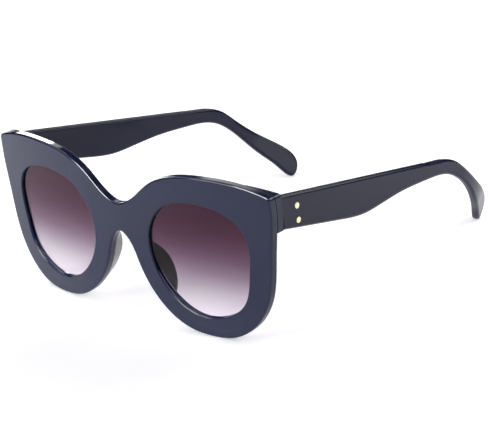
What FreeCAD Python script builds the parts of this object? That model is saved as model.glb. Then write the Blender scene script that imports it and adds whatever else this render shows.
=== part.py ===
import FreeCAD, Part
import math
import os

# Oversized sunglasses, standing open on a table: rims and temple tips touch z = 0.
# X runs across the face, Y from the front to the temple tips, Z up. Millimetres.

# Front, as seen from the front
opening_width = 47.6
opening_height = 45.3
bridge_gap = 30.6
rim_outer = 11.3
rim_top = 10.8
rim_bottom = 7.35
wing_drop = 4.25
wing_corner_radius = 1.6
bridge_dip = 16.75
bridge_height = 11.6

# Front, in section
front_thickness = 3.1
face_radius = 351.0
front_edge_round = 0.7
back_edge_round = 0.35
opening_edge_round = 0.35

# Lenses and their grooves
lens_thickness = 1.5
lens_back_lip = 0.6
groove_depth = 0.8
groove_points = 40
lens_clearance = 0.05

# Nose pads
pad_thickness = 4.4
pad_reach = 8.0
pad_top_below_arch = 1.0
pad_length = 26.0
pad_crown = 0.48
pad_splay = 25.0
pad_round = 1.0

# End blocks behind the wings
joint_depth = 14.2
joint_gap = 0.15
block_inner_overhang = 1.0
block_opening_margin = 1.3
block_ramp_length = 12.0
block_ramp_rise = 3.2
block_ramp_width = 9.7
block_ramp_drop = 3.7

# Temples
temple_thickness = 3.4
temple_toe_in = 4.0
butt_height = 13.2
butt_below_wing = 0.9
shaft_length = 94.0
shaft_fall = 19.8
belly_length = 41.3
belly_height = 15.0
waist_height = 6.9
belly_round = 5.0
ear_round = 8.0
tip_reach = 43.0
tip_below_rims = 2.5
tip_fall_angle = 42.0
bend_from_ear = 15.0
bend_below_ear = 10.1
bend_radius = 62.0
bend_angle = 24.0
temple_edge_round = 1.2

# Stiffening wire inside each temple
core_diameter = 1.2
core_start = 16.0
core_bend_radius = 12.0

# Hinges
barrel_radius = 1.6
barrel_height = 1.3
barrel_gap = 0.1
barrel_count = 5
barrel_clear_of_temple = 0.3
leaf_thickness = 1.0
leaf_margin = 0.4
hinge_drop = 2.4
front_leaf_length = 6.0
temple_leaf_start = 1.6
temple_leaf_length = 9.5
web_width = 1.8
screw_diameter = 1.4
screw_running_clearance = 0.05
screw_head_diameter = 2.6
screw_head_height = 0.7
screw_slot_width = 0.4
screw_slot_depth = 0.35

# Rivets that hold the temple leaf
rivet_head_diameter = 2.3
rivet_head_height = 0.45
rivet_shank_diameter = 1.4
rivet_proud = 0.1
rivet_ring_gap = 0.12
rivet_spacing = 5.6
rivet_drop = 0.2
rivet_from_joint = 8.0

# Distance within which a point counts as lying on a face
touching = 0.005

Vec = FreeCAD.Vector
up = Vec(0, 0, 1)

half_width = bridge_gap / 2 + opening_width + rim_outer
front_height = rim_bottom + opening_height + rim_top
wing_z = front_height - wing_drop
bridge_top = front_height - bridge_dip
arch_z = bridge_top - bridge_height
opening_x = bridge_gap / 2 + opening_width / 2
opening_z = rim_bottom + opening_height / 2
opening_outer_x = bridge_gap / 2 + opening_width
opening_turn = math.degrees(math.asin(opening_x / face_radius))
face_axis = Vec(0, face_radius, 0)

butt_top = wing_z - butt_below_wing
butt_bottom = butt_top - butt_height
hinge_z = butt_top - butt_height / 2 - hinge_drop
tip_length = shaft_length + tip_reach
ear_z = butt_top - shaft_fall
tip_drop = ear_z + tip_below_rims
reach = 2 * (half_width + tip_length)

axis_x = -temple_thickness - barrel_clear_of_temple - barrel_radius
axis_y = barrel_radius + barrel_clear_of_temple - joint_gap
barrel_stack = barrel_count * barrel_height + (barrel_count - 1) * barrel_gap

# Shape of the outlines, as shares of the sizes above
brow_points = [(0.122, 0.22), (0.237, 0.615), (0.399, 0.913), (0.602, 1.0), (0.805, 0.96)]
rim_points = [(1.0, 0.785), (0.976, 0.57), (0.932, 0.292), (0.857, 0.141),
              (0.703, 0.019), (0.562, 0.0), (0.412, 0.023)]
flank_points = [(0.228, 0.286), (0.112, 0.671), (0.064, 0.9)]
opening_points = [(1.0, 0.1), (0.77, 0.82), (0.12, 1.0), (-0.68, 0.8),
                  (-1.0, 0.23), (-0.72, -0.6), (0.06, -1.0), (0.77, -0.69)]
underside_points = [(0.85, 0.01), (0.56, 0.27), (0.26, 0.72), (0.095, 0.938)]
tip_points = [(0.151, 0.039), (0.291, 0.11), (0.419, 0.226), (0.665, 0.468), (0.891, 0.666), (0.984, 0.788),
              (0.991, 0.91), (0.912, 1.0), (0.809, 0.893), (0.651, 0.69), (0.442, 0.42), (0.151, 0.195)]
core_tip_points = [(0.381, 0.278), (0.54, 0.447), (0.7, 0.617)]


def spline(points, closed=False):
    curve = Part.BSplineCurve()
    curve.interpolate(Points=points, PeriodicFlag=closed)
    return curve.toShape()


def prism_y(edges):
    face = Part.Face(Part.Wire(edges))
    face.translate(Vec(0, -reach / 2, 0))
    return face.extrude(Vec(0, reach, 0))


def box(low, high):
    size = high - low
    return Part.makeBox(size.x, size.y, size.z, low)


def cylinder_z(radius, x, y, low, high):
    return Part.makeCylinder(radius, high - low, Vec(x, y, low))


def behind(depth):
    # everything behind the curved face that lies at this depth in the front
    tall = 2 * front_height
    return Part.makeCylinder(face_radius - depth, tall, face_axis - up * front_height / 2, up)


def at_depth(shape, depth):
    # edges of the shape that run along the curved face at this depth
    radius = face_radius - depth
    found = []
    for edge in shape.Edges:
        ends = [edge.valueAt(edge.FirstParameter), edge.valueAt(edge.LastParameter),
                edge.valueAt((edge.FirstParameter + edge.LastParameter) / 2)]
        off = max(abs(math.hypot(p.x, p.y - face_radius) - radius) for p in ends)
        if off < touching:
            found.append(edge)
    return found


def mirrored(shape):
    return shape.mirror(Vec(0, 0, 0), Vec(1, 0, 0))


def to_joint(shape):
    # from the right temple's own frame: outer face at x = 0, joint at y = 0
    turned = shape.copy()
    turned.rotate(Vec(0, 0, 0), up, temple_toe_in)
    turned.translate(Vec(half_width, joint_depth, 0))
    return turned


def front_outline():
    brow = [Vec(0, 0, bridge_top)]
    for across, rise in brow_points:
        brow.append(Vec(across * half_width, 0, bridge_top + rise * bridge_dip))
    brow.append(Vec(half_width, 0, wing_z))
    lower = [Vec(half_width, 0, wing_z)]
    for across, rise in rim_points:
        lower.append(Vec(across * half_width, 0, rise * front_height))
    for across, rise in flank_points:
        lower.append(Vec(across * half_width, 0, rise * arch_z))
    lower.append(Vec(0, 0, arch_z))
    top = [Vec(-p.x, 0, p.z) for p in reversed(brow[1:])] + brow
    bottom = lower + [Vec(-p.x, 0, p.z) for p in reversed(lower[:-1])]
    return [spline(top), spline(bottom)]


def front_prism():
    block = prism_y(front_outline())
    corners = []
    for edge in block.Edges:
        middle = edge.CenterOfMass
        if abs(abs(middle.x) - half_width) < touching and abs(middle.z - wing_z) < touching:
            corners.append(edge)
    return block.makeFillet(wing_corner_radius, corners)


def opening_prism(grow):
    points = []
    for across, rise in opening_points:
        points.append(Vec(across * opening_width / 2, 0, opening_z + rise * opening_height / 2))
    edge = spline(points, closed=True)
    if grow > 0:
        rim = Part.Wire([edge]).makeOffset2D(grow)
        edge = spline(rim.discretize(Number=groove_points)[:-1], closed=True)
    tool = prism_y([edge])
    tool.rotate(face_axis, up, opening_turn)
    return tool


def make_lens():
    front_depth = front_thickness - lens_back_lip - lens_thickness
    lens = opening_prism(groove_depth - lens_clearance).common(behind(front_depth))
    return lens.cut(behind(front_depth + lens_thickness))


def make_groove():
    front_depth = front_thickness - lens_back_lip - lens_thickness - lens_clearance
    groove = opening_prism(groove_depth).common(behind(front_depth))
    return groove.cut(behind(front_depth + lens_thickness + 2 * lens_clearance))


def make_front(outline):
    sheet = outline.common(behind(0)).cut(behind(front_thickness))
    sheet = sheet.makeFillet(front_edge_round, at_depth(sheet, 0))
    sheet = sheet.makeFillet(back_edge_round, at_depth(sheet, front_thickness))
    hole = opening_prism(0)
    sheet = sheet.cut(hole.fuse(mirrored(hole)))
    rims = []
    for edge in at_depth(sheet, 0):
        middle = edge.CenterOfMass
        if abs(abs(middle.x) - opening_x) < opening_width / 4 and abs(middle.z - opening_z) < opening_height / 4:
            rims.append(edge)
    sheet = sheet.makeFillet(opening_edge_round, rims)
    groove = make_groove()
    return sheet.cut(groove.fuse(mirrored(groove)))


def make_end_block(outline, leaf):
    low = Vec(-reach, -reach, -reach)
    before_joint = to_joint(box(low, Vec(reach, -joint_gap, reach)))
    lower_inner = opening_outer_x + block_opening_margin
    upper_inner = opening_outer_x - block_inner_overhang
    corners = [Vec(upper_inner, 0, front_height), Vec(reach, 0, front_height),
               Vec(reach, 0, butt_bottom), Vec(lower_inner, 0, butt_bottom)]
    area = prism_y([Part.makePolygon(corners + corners[:1])])
    block = outline.common(area).common(behind(front_thickness)).common(before_joint)
    return block.cut(above_ramp()).cut(leaf)


def above_ramp():
    # everything above the slope that takes the block from the brow's back edge down to the hinge
    start_x = half_width - block_ramp_length
    start_y = face_radius - math.sqrt((face_radius - front_thickness) ** 2 - start_x ** 2)
    start = Vec(start_x, start_y, wing_z + block_ramp_rise)
    wing = Vec(half_width, joint_depth, wing_z)
    foot = Vec(half_width - block_ramp_width, joint_depth, wing_z - block_ramp_drop)
    normal = (wing - start).cross(foot - start).normalize()
    sheet = Part.makePlane(2 * reach, 2 * reach, start, normal)
    sheet.translate(start - sheet.CenterOfMass)
    return sheet.extrude(normal * reach)


def make_nose_pad():
    # a band along the rim's inner flank, drawn out backwards and away from the nose
    top = arch_z - pad_top_below_arch
    bottom = top - pad_length
    sheet = Part.Face(Part.Wire(front_outline()))
    inner = sheet.copy()
    inner.translate(Vec(pad_thickness, 0, 0))
    band = sheet.cut(inner).common(box(Vec(0, -reach, bottom), Vec(half_width / 2, reach, top)))
    spread = math.tan(math.radians(pad_splay))
    slant = Vec(spread, 1, 0)
    band.translate(slant * -front_thickness + Vec(0, front_thickness, 0))
    band = band.extrude(slant * (2 * front_thickness + pad_reach))
    start = front_thickness / 2
    middle = Vec(0, front_thickness + pad_reach, bottom + pad_length * pad_crown)
    arc = Part.Arc(Vec(0, start, top), middle, Vec(0, start, bottom)).toShape()
    chord = Part.LineSegment(Vec(0, start, bottom), Vec(0, start, top)).toShape()
    profile = Part.Face(Part.Wire([arc, chord])).extrude(Vec(half_width, 0, 0))
    pad = band.common(profile).common(behind(front_thickness))
    free = []
    root = face_radius - front_thickness - pad_round
    for edge in pad.Edges:
        middle = edge.valueAt((edge.FirstParameter + edge.LastParameter) / 2)
        if math.hypot(middle.x, middle.y - face_radius) < root:
            free.append(edge)
    return pad.makeFillet(pad_round, free)


def barrel_low(index):
    return hinge_z - barrel_stack / 2 + index * (barrel_height + barrel_gap)


def barrels(indices, web_low, web_high):
    # hinge barrels with the webs that tie them to their leaf
    parts = []
    for index in indices:
        low = barrel_low(index)
        parts.append(cylinder_z(barrel_radius, axis_x, axis_y, low, low + barrel_height))
        parts.append(box(web_low + up * low, web_high + up * (low + barrel_height)))
    return parts


def screw_bore():
    radius = screw_diameter / 2 + screw_running_clearance
    return cylinder_z(radius, axis_x, axis_y, hinge_z - barrel_stack, hinge_z + barrel_stack)


def make_front_leaf():
    half = barrel_stack / 2 + leaf_margin
    outer = axis_x + web_width / 2
    plate = box(Vec(outer - front_leaf_length, -joint_gap - leaf_thickness, hinge_z - half),
                Vec(outer, -joint_gap, hinge_z + half))
    web_low = Vec(axis_x - web_width / 2, -joint_gap, 0)
    web_high = Vec(outer, axis_y, 0)
    knuckles = barrels(range(0, barrel_count, 2), web_low, web_high)
    return plate, plate.multiFuse(knuckles).removeSplitter().cut(screw_bore())


def make_temple_leaf():
    half = barrel_stack / 2 + leaf_margin
    plate = box(Vec(-temple_thickness, temple_leaf_start, hinge_z - half),
                Vec(leaf_thickness - temple_thickness, temple_leaf_start + temple_leaf_length, hinge_z + half))
    web_low = Vec(axis_x, axis_y - web_width / 2, 0)
    web_high = Vec(-temple_thickness, axis_y + web_width / 2, 0)
    knuckles = barrels(range(1, barrel_count, 2), web_low, web_high)
    return plate, plate.multiFuse(knuckles).removeSplitter().cut(screw_bore())


def make_screw():
    low = hinge_z - barrel_stack / 2
    high = hinge_z + barrel_stack / 2
    shank = cylinder_z(screw_diameter / 2, axis_x, axis_y, low, high)
    head = cylinder_z(screw_head_diameter / 2, axis_x, axis_y, high, high + screw_head_height)
    slot = box(Vec(axis_x - screw_head_diameter, axis_y - screw_slot_width / 2,
                   high + screw_head_height - screw_slot_depth),
               Vec(axis_x + screw_head_diameter, axis_y + screw_slot_width / 2, high + 2 * screw_head_height))
    return shank.fuse(head).removeSplitter().cut(slot)


def top_edge(along):
    return butt_top - shaft_fall * along / shaft_length


def temple_profile():
    butt_high = Vec(0, 0, butt_top)
    butt_low = Vec(0, 0, butt_bottom)
    belly = Vec(0, belly_length, top_edge(belly_length) - belly_height)
    toward_butt = (butt_low - belly).normalize()
    # the curve runs a little way along both straight edges, so that it leaves them smoothly
    points = [Vec(0, shaft_length - ear_round, top_edge(shaft_length - ear_round)), Vec(0, shaft_length, ear_z)]
    for along, fall in tip_points:
        points.append(Vec(0, shaft_length + along * tip_reach, ear_z - fall * tip_drop))
    for share, bulge in underside_points:
        along = belly_length + share * (shaft_length - belly_length)
        height = waist_height + bulge * (belly_height - waist_height)
        points.append(Vec(0, along, top_edge(along) - height))
    points.append(belly + toward_butt * belly_round)
    points.append(belly + toward_butt * 2 * belly_round)
    edges = [Part.LineSegment(butt_high, points[0]).toShape(),
             spline(points),
             Part.LineSegment(points[-1], butt_low).toShape(),
             Part.LineSegment(butt_low, butt_high).toShape()]
    face = Part.Face(Part.Wire(edges))
    face.translate(Vec(-reach / 2, 0, 0))
    return face.extrude(Vec(reach, 0, 0))


def past_bend(along, z):
    # distance down the tip from the line where it starts to curve inward
    fall = math.radians(tip_fall_angle)
    bend_y = shaft_length + bend_from_ear
    bend_z = ear_z - bend_below_ear
    return (along - bend_y) * math.cos(fall) + (bend_z - z) * math.sin(fall)


def inward(depth, past):
    # x of the temple at this depth from its outer face: straight, then an arc, then straight again
    if past <= 0:
        return -depth
    radius = bend_radius - depth
    turn = math.radians(bend_angle)
    arc_end = radius * math.sin(turn)
    if past <= arc_end:
        return math.sqrt(radius ** 2 - past ** 2) - bend_radius
    return radius * math.cos(turn) - bend_radius - (past - arc_end) * math.tan(turn)


def temple_plan():
    edges = []
    for depth in (0, temple_thickness):
        arc_end = (bend_radius - depth) * math.sin(math.radians(bend_angle))
        line = [Vec(inward(depth, past), past, 0) for past in (-reach, 0, arc_end / 2, arc_end, reach)]
        edges.append(Part.LineSegment(line[0], line[1]).toShape())
        edges.append(Part.Arc(line[1], line[2], line[3]).toShape())
        edges.append(Part.LineSegment(line[3], line[4]).toShape())
    for past in (-reach, reach):
        ends = [Vec(inward(depth, past), past, 0) for depth in (0, temple_thickness)]
        edges.append(Part.LineSegment(ends[0], ends[1]).toShape())
    face = Part.Face(Part.Wire(Part.__sortEdges__(edges)))
    face.translate(Vec(0, 0, -reach))
    slab = face.extrude(Vec(0, 0, 2 * reach))
    slab.rotate(Vec(0, 0, 0), Vec(1, 0, 0), -tip_fall_angle)
    slab.translate(Vec(0, shaft_length + bend_from_ear, ear_z - bend_below_ear))
    return slab


def temple_rims(temple, depth):
    # the long edges where the face at this depth meets the top and the underside
    found = []
    for edge in temple.Edges:
        span = edge.LastParameter - edge.FirstParameter
        points = [edge.valueAt(edge.FirstParameter + span * share) for share in (0.1, 0.5, 0.9)]
        past = [past_bend(p.y, p.z) for p in points]
        on_joint = all(p.y < touching for p in points)
        across_face = max(past) - min(past) < touching
        off_face = max(abs(inward(depth, distance) - p.x) for distance, p in zip(past, points))
        if off_face < touching and not on_joint and not across_face:
            found.append(edge)
    return found


def rounded_path(points, radius):
    edges = []
    last = points[0]
    for before, corner, after in zip(points, points[1:], points[2:]):
        back = (before - corner).normalize()
        ahead = (after - corner).normalize()
        half_turn = (math.pi - back.getAngle(ahead)) / 2
        start = corner + back * (radius * math.tan(half_turn))
        end = corner + ahead * (radius * math.tan(half_turn))
        bisector = (back + ahead).normalize()
        middle = corner + bisector * (radius / math.cos(half_turn) - radius)
        edges.append(Part.LineSegment(last, start).toShape())
        edges.append(Part.Arc(start, middle, end).toShape())
        last = end
    edges.append(Part.LineSegment(last, points[-1]).toShape())
    return Part.Wire(edges)


def make_core():
    route = [(core_start, top_edge(core_start) - waist_height / 2),
             (shaft_length, ear_z - waist_height / 2)]
    for along, fall in core_tip_points:
        route.append((shaft_length + along * tip_reach, ear_z - fall * tip_drop))
    points = []
    for along, z in route:
        points.append(Vec(inward(temple_thickness / 2, past_bend(along, z)), along, z))
    path = rounded_path(points, core_bend_radius)
    section = Part.Wire(Part.makeCircle(core_diameter / 2, points[0], points[1] - points[0]))
    return path.makePipeShell([section], True, False)


def rivet_stack(extra_head, extra_shank, outer):
    # head and shank of both rivets, along the temple's thickness
    inner = leaf_thickness - temple_thickness
    pieces = []
    for side in (-1, 1):
        z = hinge_z - rivet_drop + side * rivet_spacing / 2
        head = Part.makeCylinder(rivet_head_diameter / 2 + extra_head, rivet_head_height + outer,
                                 Vec(-rivet_head_height, rivet_from_joint, z), Vec(1, 0, 0))
        shank = Part.makeCylinder(rivet_shank_diameter / 2 + extra_shank, -rivet_head_height - inner,
                                  Vec(inner, rivet_from_joint, z), Vec(1, 0, 0))
        pieces.append(head.fuse(shank).removeSplitter())
    return Part.makeCompound(pieces)


def make_temple(leaf_plate, core):
    temple = temple_plan().common(temple_profile())
    temple = temple.makeFillet(temple_edge_round, temple_rims(temple, 0))
    temple = temple.makeFillet(temple_edge_round, temple_rims(temple, temple_thickness))
    temple = temple.cut(leaf_plate)
    temple = temple.cut(rivet_stack(rivet_ring_gap, 0, temple_thickness))
    return temple.cut(core)


def rim_foot():
    # depth of the rims' lowest point in the curved front
    across = rim_points[5][0] * half_width
    return face_radius - math.sqrt(face_radius ** 2 - across ** 2)


def resting_lean():
    # turn that brings the rims and the temple tips down to one table
    low = max(tip_points, key=lambda point: point[1])
    along = shaft_length + low[0] * tip_reach
    tip_foot = joint_depth + along * math.cos(math.radians(temple_toe_in))
    return math.degrees(math.atan(tip_below_rims / (tip_foot - rim_foot())))


nodes = {}


def add_pair(name, shape):
    nodes[name + "_right"] = shape
    nodes[name + "_left"] = mirrored(shape)


outline = front_prism()
front_plate, front_leaf = make_front_leaf()
temple_plate, temple_leaf = make_temple_leaf()
core = make_core()
nodes["frame_front"] = make_front(outline)
add_pair("lens", make_lens())
add_pair("end_block", make_end_block(outline, to_joint(front_plate)))
add_pair("nose_pad", make_nose_pad())
add_pair("hinge_front_leaf", to_joint(front_leaf))
add_pair("hinge_screw", to_joint(make_screw()))
add_pair("temple", to_joint(make_temple(temple_plate, core)))
add_pair("temple_core", to_joint(core))
add_pair("hinge_temple_leaf", to_joint(temple_leaf))
add_pair("temple_rivets", to_joint(rivet_stack(0, 0, rivet_proud)))

lean = resting_lean()
for shape in nodes.values():
    shape.rotate(Vec(0, rim_foot(), 0), Vec(1, 0, 0), lean)
bounds = Part.makeCompound(list(nodes.values())).optimalBoundingBox()
shift = Vec(0, -(bounds.YMin + bounds.YMax) / 2, -bounds.ZMin)

axis_point = to_joint(Part.Vertex(axis_x, axis_y, hinge_z))
axis_point.rotate(Vec(0, rim_foot(), 0), Vec(1, 0, 0), lean)
axis_point.translate(shift)
print("lean", round(lean, 4), "shift", shift, "hinge axis", axis_point.Point)
print("size", round(bounds.XLength, 2), round(bounds.YLength, 2), round(bounds.ZLength, 2))

os.makedirs("parts", exist_ok=True)
for name, shape in nodes.items():
    shape.translate(shift)
    box_now = shape.optimalBoundingBox()
    print(name, len(shape.Solids), shape.isValid(), round(shape.Volume, 2), round(box_now.ZMin, 3))
    shape.exportStep("parts/" + name + ".step")
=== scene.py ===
import bmesh
import bpy
from mathutils import Matrix, Vector


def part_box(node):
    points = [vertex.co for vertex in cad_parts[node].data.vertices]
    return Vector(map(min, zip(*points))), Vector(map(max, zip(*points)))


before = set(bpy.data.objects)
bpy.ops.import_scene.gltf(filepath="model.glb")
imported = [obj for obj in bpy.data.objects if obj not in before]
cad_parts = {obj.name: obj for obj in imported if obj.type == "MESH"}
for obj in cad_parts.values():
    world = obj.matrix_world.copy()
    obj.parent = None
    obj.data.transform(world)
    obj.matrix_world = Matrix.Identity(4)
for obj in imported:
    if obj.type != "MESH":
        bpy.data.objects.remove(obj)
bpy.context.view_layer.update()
scene = bpy.context.scene
print("frame loaded", len(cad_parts), "nodes")


def rgb(red, green, blue):
    # screen colour, 0 to 255, to the linear colour that the shader sockets take
    def linear(level):
        share = level / 255
        return share / 12.92 if share <= 0.04045 else ((share + 0.055) / 1.055) ** 2.4
    return (linear(red), linear(green), linear(blue), 1.0)


def addNode(tree, kind, **values):
    node = tree.nodes.new(kind)
    for name, value in values.items():
        setattr(node, name, value)
    return node


def setInputs(node, values):
    for name, value in values.items():
        node.inputs[name].default_value = value


def newMaterial(name):
    material = bpy.data.materials.new(name)
    material.use_nodes = True
    tree = material.node_tree
    return material, tree, tree.nodes["Principled BSDF"]


# Polished surface: cloudy depth in the colour, faint rub marks in the gloss, a slight roll of the surface
polishLook = dict(cloud={"Detail": 3.0, "Roughness": 0.6},
                  rub={"Scale": 260.0, "Detail": 4.0},
                  rubStretch={"Scale": (0.25, 0.25, 1.6)},
                  rubRange={"From Min": 0.35, "From Max": 0.7},
                  swell={"Scale": 90.0, "Detail": 1.0},
                  swellBump={"Distance": 0.0002})
polishInputs = dict(dark="NodeSocketColor", light="NodeSocketColor", cloudScale="NodeSocketFloat",
                    glossLow="NodeSocketFloat", glossHigh="NodeSocketFloat", roll="NodeSocketFloat")
polishOutputs = {"Color": "NodeSocketColor", "Roughness": "NodeSocketFloat", "Normal": "NodeSocketVector"}


def makePolishGroup(look):
    group = bpy.data.node_groups.new("polishedSurface", "ShaderNodeTree")
    for name, kind in polishInputs.items():
        group.interface.new_socket(name, in_out="INPUT", socket_type=kind)
    for name, kind in polishOutputs.items():
        group.interface.new_socket(name, in_out="OUTPUT", socket_type=kind)
    inputs = addNode(group, "NodeGroupInput")
    outputs = addNode(group, "NodeGroupOutput")
    place = addNode(group, "ShaderNodeTexCoord")
    link = group.links.new

    # colour: two close tones mixed by a soft cloud
    cloud = addNode(group, "ShaderNodeTexNoise")
    setInputs(cloud, look["cloud"])
    tint = addNode(group, "ShaderNodeMix", data_type="RGBA")
    link(place.outputs["Object"], cloud.inputs["Vector"])
    link(inputs.outputs["cloudScale"], cloud.inputs["Scale"])
    link(cloud.outputs["Fac"], tint.inputs["Factor"])
    link(inputs.outputs["dark"], tint.inputs["A"])
    link(inputs.outputs["light"], tint.inputs["B"])
    link(tint.outputs["Result"], outputs.inputs["Color"])

    # gloss: fine marks drawn out along the piece
    rub = addNode(group, "ShaderNodeTexNoise")
    setInputs(rub, look["rub"])
    stretch = addNode(group, "ShaderNodeMapping")
    setInputs(stretch, look["rubStretch"])
    gloss = addNode(group, "ShaderNodeMapRange")
    setInputs(gloss, look["rubRange"])
    link(place.outputs["Object"], stretch.inputs["Vector"])
    link(stretch.outputs["Vector"], rub.inputs["Vector"])
    link(rub.outputs["Fac"], gloss.inputs["Value"])
    link(inputs.outputs["glossLow"], gloss.inputs["To Min"])
    link(inputs.outputs["glossHigh"], gloss.inputs["To Max"])
    link(gloss.outputs["Result"], outputs.inputs["Roughness"])

    # surface: a slow swell left by the polishing
    swell = addNode(group, "ShaderNodeTexNoise")
    setInputs(swell, look["swell"])
    bump = addNode(group, "ShaderNodeBump")
    setInputs(bump, look["swellBump"])
    link(place.outputs["Object"], swell.inputs["Vector"])
    link(inputs.outputs["roll"], bump.inputs["Strength"])
    link(swell.outputs["Fac"], bump.inputs["Height"])
    link(bump.outputs["Normal"], outputs.inputs["Normal"])
    return group


polishGroup = makePolishGroup(polishLook)


def makePolished(name, look):
    material, tree, shader = newMaterial(name)
    polish = addNode(tree, "ShaderNodeGroup", node_tree=polishGroup)
    setInputs(polish, {key: look[key] for key in polishInputs})
    link = tree.links.new
    link(polish.outputs["Color"], shader.inputs["Base Color"])
    link(polish.outputs["Roughness"], shader.inputs["Roughness"])
    link(polish.outputs["Normal"], shader.inputs["Normal"])
    setInputs(shader, {"Metallic": look["metallic"], "IOR": look["ior"]})
    return material


frontLook = dict(dark=rgb(22, 29, 60), light=rgb(28, 36, 70), cloudScale=55.0,
                 glossLow=0.06, glossHigh=0.13, roll=0.02, metallic=0.0, ior=1.47)
templeLook = dict(dark=rgb(19, 20, 48), light=rgb(25, 26, 56), cloudScale=55.0,
                  glossLow=0.07, glossHigh=0.15, roll=0.02, metallic=0.0, ior=1.36)
padLook = dict(dark=rgb(64, 64, 68), light=rgb(78, 78, 82), cloudScale=120.0,
               glossLow=0.14, glossHigh=0.24, roll=0.03, metallic=0.0, ior=1.4)
hingeLook = dict(dark=rgb(176, 172, 164), light=rgb(206, 202, 194), cloudScale=400.0,
                 glossLow=0.22, glossHigh=0.4, roll=0.05, metallic=1.0, ior=1.5)
screwLook = dict(dark=rgb(190, 188, 182), light=rgb(216, 214, 208), cloudScale=500.0,
                 glossLow=0.15, glossHigh=0.3, roll=0.05, metallic=1.0, ior=1.5)
wireLook = dict(dark=rgb(150, 150, 150), light=rgb(180, 180, 180), cloudScale=300.0,
                glossLow=0.25, glossHigh=0.4, roll=0.05, metallic=1.0, ior=1.5)
rivetLook = dict(dark=rgb(234, 219, 176), light=rgb(252, 242, 206), cloudScale=500.0,
                 glossLow=0.2, glossHigh=0.35, roll=0.04, metallic=1.0, ior=1.5)

# Tinted lens: nearly clear at the cheek, deepening to plum at the brow, by share of the lens's height
lensLook = dict(stops=((0.0, rgb(236, 231, 237)), (0.2, rgb(203, 193, 205)), (0.4, rgb(129, 105, 127)),
                       (0.6, rgb(86, 56, 77)), (0.8, rgb(67, 36, 54)), (1.0, rgb(56, 30, 45))),
                roughness=0.02, ior=1.25)


def makeLens(name, low, high, look):
    material, tree, shader = newMaterial(name)
    place = addNode(tree, "ShaderNodeTexCoord")
    split = addNode(tree, "ShaderNodeSeparateXYZ")
    height = addNode(tree, "ShaderNodeMapRange")
    setInputs(height, {"From Min": low, "From Max": high})
    fade = addNode(tree, "ShaderNodeValToRGB")
    ramp = fade.color_ramp
    ramp.interpolation = "B_SPLINE"
    while len(ramp.elements) < len(look["stops"]):
        ramp.elements.new(0.5)
    for element, (share, colour) in zip(ramp.elements, look["stops"]):
        element.position = share
        element.color = colour
    link = tree.links.new
    link(place.outputs["Object"], split.inputs["Vector"])
    link(split.outputs["Z"], height.inputs["Value"])
    link(height.outputs["Result"], fade.inputs["Fac"])
    link(fade.outputs["Color"], shader.inputs["Base Color"])
    setInputs(shader, {"Transmission Weight": 1.0, "Roughness": look["roughness"], "IOR": look["ior"]})
    return material


def dress(node, material):
    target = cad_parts[node]
    target.data.materials.clear()
    target.data.materials.append(material)


frontPlastic = makePolished("navyPlasticFront", frontLook)
hingeMetal = makePolished("hingeNickel", hingeLook)
lensLow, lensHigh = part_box("lens_right")
sideFinishes = dict(end_block=frontPlastic,
                    lens=makeLens("gradientLens", lensLow[2], lensHigh[2], lensLook),
                    nose_pad=makePolished("greyPadPlastic", padLook),
                    hinge_front_leaf=hingeMetal,
                    hinge_temple_leaf=hingeMetal,
                    hinge_screw=makePolished("screwSteel", screwLook),
                    temple=makePolished("navyPlasticTemple", templeLook),
                    temple_core=makePolished("coreWire", wireLook),
                    temple_rivets=makePolished("paleGoldRivet", rivetLook))

dress("frame_front", frontPlastic)
for side in ("_right", "_left"):
    for piece, finish in sideFinishes.items():
        dress(piece + side, finish)
    # the tint lets the studio light through to the pads and the floor
    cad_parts["lens" + side].visible_shadow = False
print("materials on", len(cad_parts), "nodes")


# Studio: a pale lit floor, soft panels, a dark quiet surround
studioLook = dict(floorSize=6.0, floorTone=rgb(250, 250, 251), floorRoughness=0.9, floorSpecular=0.1,
                  floorGlow=0.25, floorLift=0.15, surround=(0.04, 0.04, 0.045, 1.0))
panels = (
    dict(name="overhead", spot=(0.1, -0.1, 1.3), target=(0, 0, 0), width=1.6, height=1.6, power=1.8),
    dict(name="frontKey", spot=(-0.3, -1.0, 0.45), target=(0, 0, 0.04), width=0.6, height=0.5, power=7.0),
    # these hang over the floor and wash it: behind the right temple, beside the left lens, at the far side
    dict(name="rearSweep", spot=(0.26, 0.28, 0.25), target=(0.26, 0.28, 0),
         width=0.3, height=0.4, power=1.3),
    dict(name="leftSweep", spot=(-0.35, -0.2, 0.35), target=(-0.35, -0.2, 0),
         width=0.4, height=0.4, power=0.9),
    dict(name="farSweep", spot=(-0.3, 0.42, 0.35), target=(-0.3, 0.42, 0),
         width=0.5, height=0.4, power=1.2))
# cards that only show as reflections: along the brow's front edge, on the left wing's top, in the tips
cards = (
    dict(name="browCard", spot=(0.05, -0.8, 0.95), target=(0, -0.07, 0.06),
         width=0.8, height=0.5, power=40.0),
    dict(name="wingCard", spot=(-0.2, 0.042, 0.122), target=(-0.06, -0.065, 0.06),
         width=0.044, height=0.08, power=0.152),
    dict(name="tipCard", spot=(1.2, 0.1, 0.2), target=(0, 0.06, 0.02), width=1.0, height=0.4, power=2.6))


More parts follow.
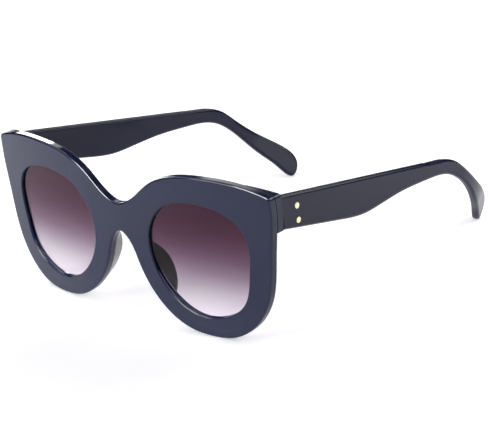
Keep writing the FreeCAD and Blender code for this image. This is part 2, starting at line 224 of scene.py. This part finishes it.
def makeFloor(look):
    mesh = bpy.data.meshes.new("floor")
    sheet = bmesh.new()
    bmesh.ops.create_grid(sheet, x_segments=1, y_segments=1, size=look["floorSize"] / 2)
    sheet.to_mesh(mesh)
    sheet.free()
    floor = bpy.data.objects.new("floor", mesh)
    scene.collection.objects.link(floor)
    material, tree, shader = newMaterial("paleFloor")
    setInputs(shader, {"Base Color": look["floorTone"], "Emission Color": look["floorTone"],
                       "Roughness": look["floorRoughness"], "Specular IOR Level": look["floorSpecular"]})
    # the floor glows softly, and is lifted to white where it is seen directly or through a lens
    rays = addNode(tree, "ShaderNodeLightPath")
    seen = addNode(tree, "ShaderNodeMath", operation="MAXIMUM")
    glow = addNode(tree, "ShaderNodeMath", operation="MULTIPLY_ADD")
    glow.inputs[1].default_value = look["floorLift"]
    glow.inputs[2].default_value = look["floorGlow"]
    link = tree.links.new
    link(rays.outputs["Is Camera Ray"], seen.inputs[0])
    link(rays.outputs["Is Transmission Ray"], seen.inputs[1])
    link(seen.outputs["Value"], glow.inputs[0])
    link(glow.outputs["Value"], shader.inputs["Emission Strength"])
    mesh.materials.append(material)


def addPanel(name, spot, target, width, height, power):
    light = bpy.data.lights.new(name, "AREA")
    light.shape = "RECTANGLE"
    light.size = width
    light.size_y = height
    light.energy = power
    panel = bpy.data.objects.new(name, light)
    away = Vector(spot) - Vector(target)
    panel.matrix_world = Matrix.Translation(spot) @ away.to_track_quat("Z", "Y").to_matrix().to_4x4()
    scene.collection.objects.link(panel)
    return panel


makeFloor(studioLook)
world = bpy.data.worlds.new("surround")
world.use_nodes = True
setInputs(world.node_tree.nodes["Background"], {"Color": studioLook["surround"]})
scene.world = world
for look in panels:
    addPanel(**look)
for look in cards:
    card = addPanel(**look)
    card.visible_diffuse = False
    card.visible_camera = False
    card.visible_transmission = False
scene.view_settings.view_transform = "Standard"
print("studio ready")


# Camera, from the photograph's perspective
cameraLook = dict(spot=(0.61961, -0.60334, 0.34332), right=(0.71502, 0.69218, -0.09812),
                  up=(-0.18253, 0.32032, 0.92956), lens=169.07, sensorWidth=36.0, clipStart=0.01)
cameraData = bpy.data.cameras.new("photoCamera")
cameraData.sensor_fit = "HORIZONTAL"
cameraData.sensor_width = cameraLook["sensorWidth"]
cameraData.lens = cameraLook["lens"]
cameraData.clip_start = cameraLook["clipStart"]
camera = bpy.data.objects.new("photoCamera", cameraData)
right = Vector(cameraLook["right"]).normalized()
back = right.cross(Vector(cameraLook["up"])).normalized()
upward = back.cross(right)
turn = Matrix((right, upward, back)).transposed().to_4x4()
camera.matrix_world = Matrix.Translation(cameraLook["spot"]) @ turn
scene.collection.objects.link(camera)
scene.camera = camera
print("camera ready")
